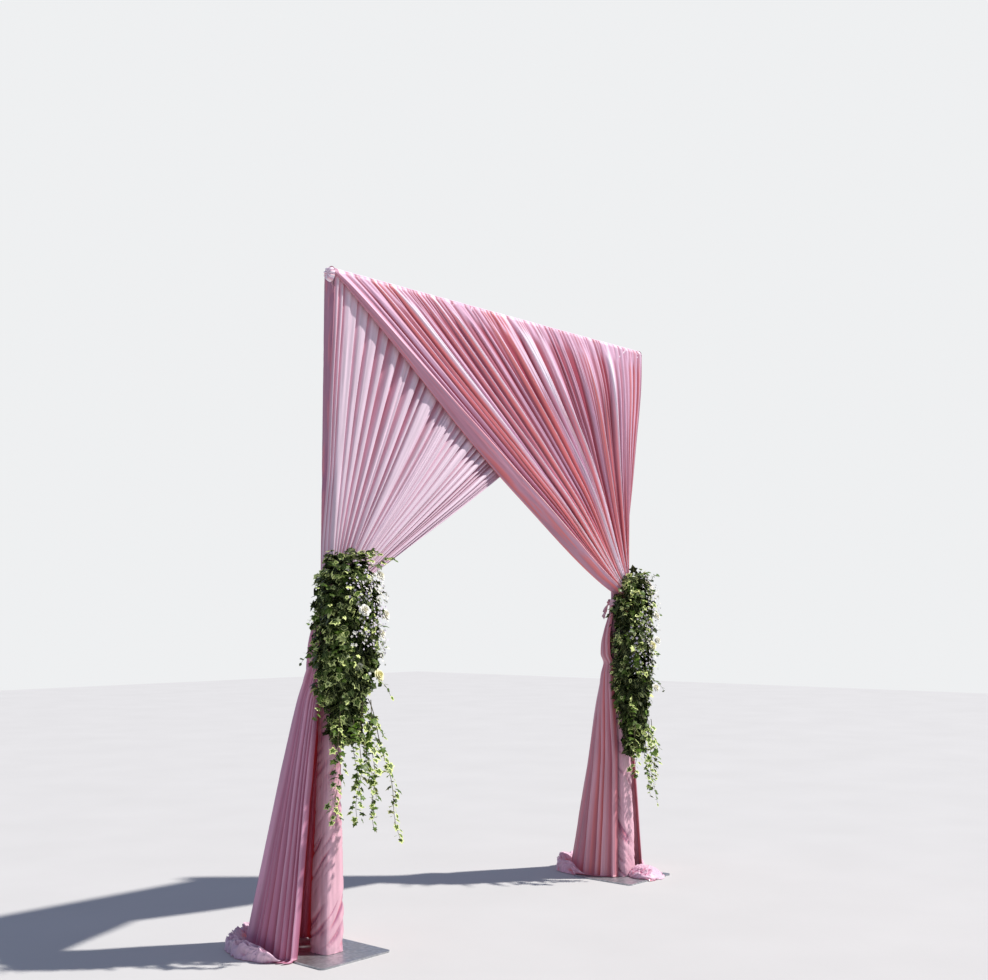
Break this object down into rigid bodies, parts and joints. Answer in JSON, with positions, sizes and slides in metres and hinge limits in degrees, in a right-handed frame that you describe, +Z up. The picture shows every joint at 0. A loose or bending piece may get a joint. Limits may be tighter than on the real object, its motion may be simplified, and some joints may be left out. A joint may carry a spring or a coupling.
{
  "type": "draped wedding arch",
  "caption": "Square wedding arch: wrapped posts on base plates, a round crossbar, crossed pleated drapes tied to the posts, tails to the floor and flower garlands.",
  "frame": {"origin": "middle of the arch's footprint, on the floor", "axes": "+Z up, +X along the crossbar to the right seen from the front, +Y from the front to the back"},
  "size_m": [2.9078, 0.7618, 3.05],
  "materials": {
    "frame_steel": "satin silver powder coat",
    "cap_plastic": "moulded, matte",
    "sleeve_cloth": "matte woven, ruched",
    "tie_ribbon": "satin",
    "tail_cloth": "matte woven, translucent",
    "rear_cloth": "matte woven, translucent",
    "front_cloth": "matte woven, translucent",
    "foliage": "waxy leaf",
    "cream_petals": "matte petal",
    "yellow_petals": "matte petal"
  },
  "bodies": {
    "root": {"left_base_plate": "frame_steel", "left_socket": "frame_steel", "left_post": "frame_steel", "left_beam_bracket": "frame_steel", "left_post_cap": "cap_plastic", "left_bar_end_cap": "cap_plastic", "left_post_sleeve": "sleeve_cloth", "left_tie_band": "tie_ribbon", "left_tail": "tail_cloth", "left_tail_puddle": "tail_cloth", "left_garland_foliage": "foliage", "right_base_plate": "frame_steel", "right_socket": "frame_steel", "right_post": "frame_steel", "right_beam_bracket": "frame_steel", "right_post_cap": "cap_plastic", "right_bar_end_cap": "cap_plastic", "right_post_sleeve": "sleeve_cloth", "right_tie_band": "tie_ribbon", "right_tail": "tail_cloth", "right_tail_puddle": "tail_cloth", "right_garland_foliage": "foliage", "left_garland_rose_1": "cream_petals", "left_garland_rose_2": "cream_petals", "left_garland_rose_3": "cream_petals", "left_garland_rose_4": "cream_petals", "left_garland_rose_5": "yellow_petals", "right_garland_rose_1": "cream_petals", "right_garland_rose_2": "cream_petals", "right_garland_rose_3": "cream_petals", "right_garland_rose_4": "yellow_petals", "right_garland_rose_5": "cream_petals", "left_trailing_strand_1": "foliage", "left_trailing_strand_2": "foliage", "left_trailing_strand_3": "foliage", "left_trailing_strand_4": "foliage", "right_trailing_strand_1": "foliage", "right_trailing_strand_2": "foliage", "right_trailing_strand_3": "foliage", "crossbar": "frame_steel", "rear_drape": "rear_cloth", "front_drape": "front_cloth"}
  },
  "joints": []
}
